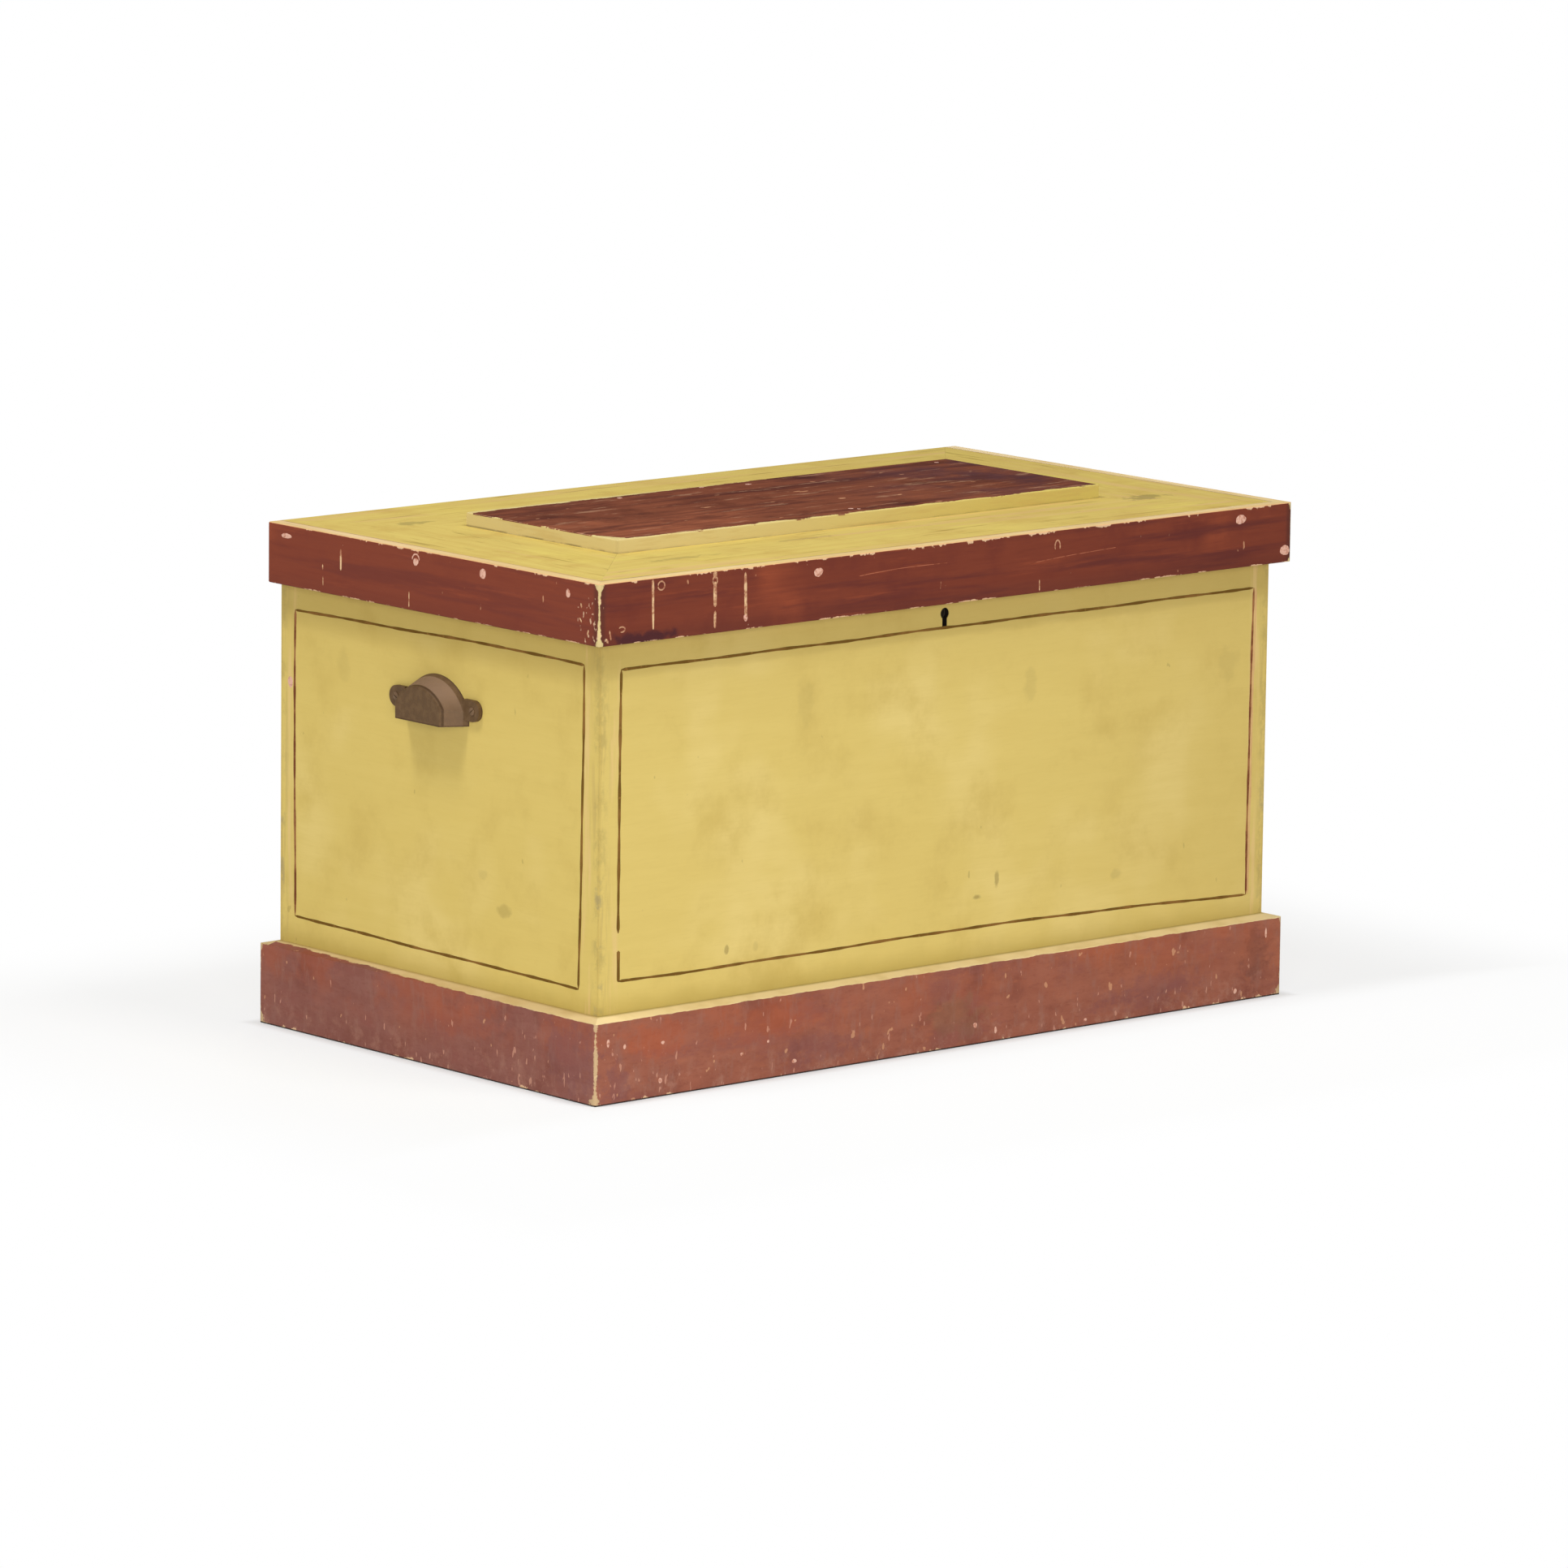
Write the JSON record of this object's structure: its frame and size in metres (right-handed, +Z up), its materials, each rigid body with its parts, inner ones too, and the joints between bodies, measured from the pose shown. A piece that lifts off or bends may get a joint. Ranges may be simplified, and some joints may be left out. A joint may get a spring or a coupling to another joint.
{
  "type": "painted chest",
  "caption": "Softwood storage chest with a hinged overhanging lid and raised panel, a mitred plinth, cup handles on the ends and a lock with a keyhole.",
  "frame": {"origin": "centre of the footprint, on the floor under the chest", "axes": "+X along the chest to its right end, -Y out of its front, +Z up"},
  "size_m": [0.985, 0.552, 0.5495],
  "materials": {
    "case_paint": "worn ochre-yellow paint on softwood",
    "lid_paint": "worn ochre-yellow paint on softwood",
    "skirt_paint": "worn red-brown paint on softwood",
    "plinth_paint": "worn red-brown paint on softwood",
    "field_paint": "worn red-brown paint on softwood, its sides yellow",
    "bare_wood": "bare aged softwood",
    "handle_iron": "worn brown-painted cast iron",
    "hinge_iron": "dark aged iron",
    "lock_iron": "dark aged iron"
  },
  "bodies": {
    "case": {"front_board": "case_paint", "back_board": "case_paint", "left_end_board": "case_paint", "right_end_board": "case_paint", "bottom_board_front": "bare_wood", "bottom_board_middle": "bare_wood", "bottom_board_back": "bare_wood", "plinth_front": "plinth_paint", "plinth_right": "plinth_paint", "plinth_back": "plinth_paint", "plinth_left": "plinth_paint", "left_hinge_case_leaf": "hinge_iron", "left_hinge_pin": "hinge_iron", "right_hinge_case_leaf": "hinge_iron", "right_hinge_pin": "hinge_iron", "lock_plate": "lock_iron", "lock_cover": "lock_iron", "lock_spring": "lock_iron", "left_handle": "handle_iron", "right_handle": "handle_iron"},
    "lid": {"lid_front_rail": "lid_paint", "lid_back_rail": "lid_paint", "lid_left_stile": "lid_paint", "lid_right_stile": "lid_paint", "lid_panel": "field_paint", "skirt_front": "skirt_paint", "skirt_left": "skirt_paint", "skirt_right": "skirt_paint", "left_hinge_lid_leaf": "hinge_iron", "right_hinge_lid_leaf": "hinge_iron", "lock_strike": "lock_iron"},
    "bolt": {"lock_bolt": "lock_iron"}
  },
  "joints": [
    {"name": "lid_hinge", "type": "hinge", "parent": "case", "child": "lid", "pos_m": [0, 0.2644, 0.513], "axis": [-1, 0, 0], "range_deg": [0, 105]},
    {"name": "lock_bolt_slide", "type": "slide", "parent": "case", "child": "bolt", "axis": [1, 0, 0], "range_m": [0, 0.014]}
  ]
}
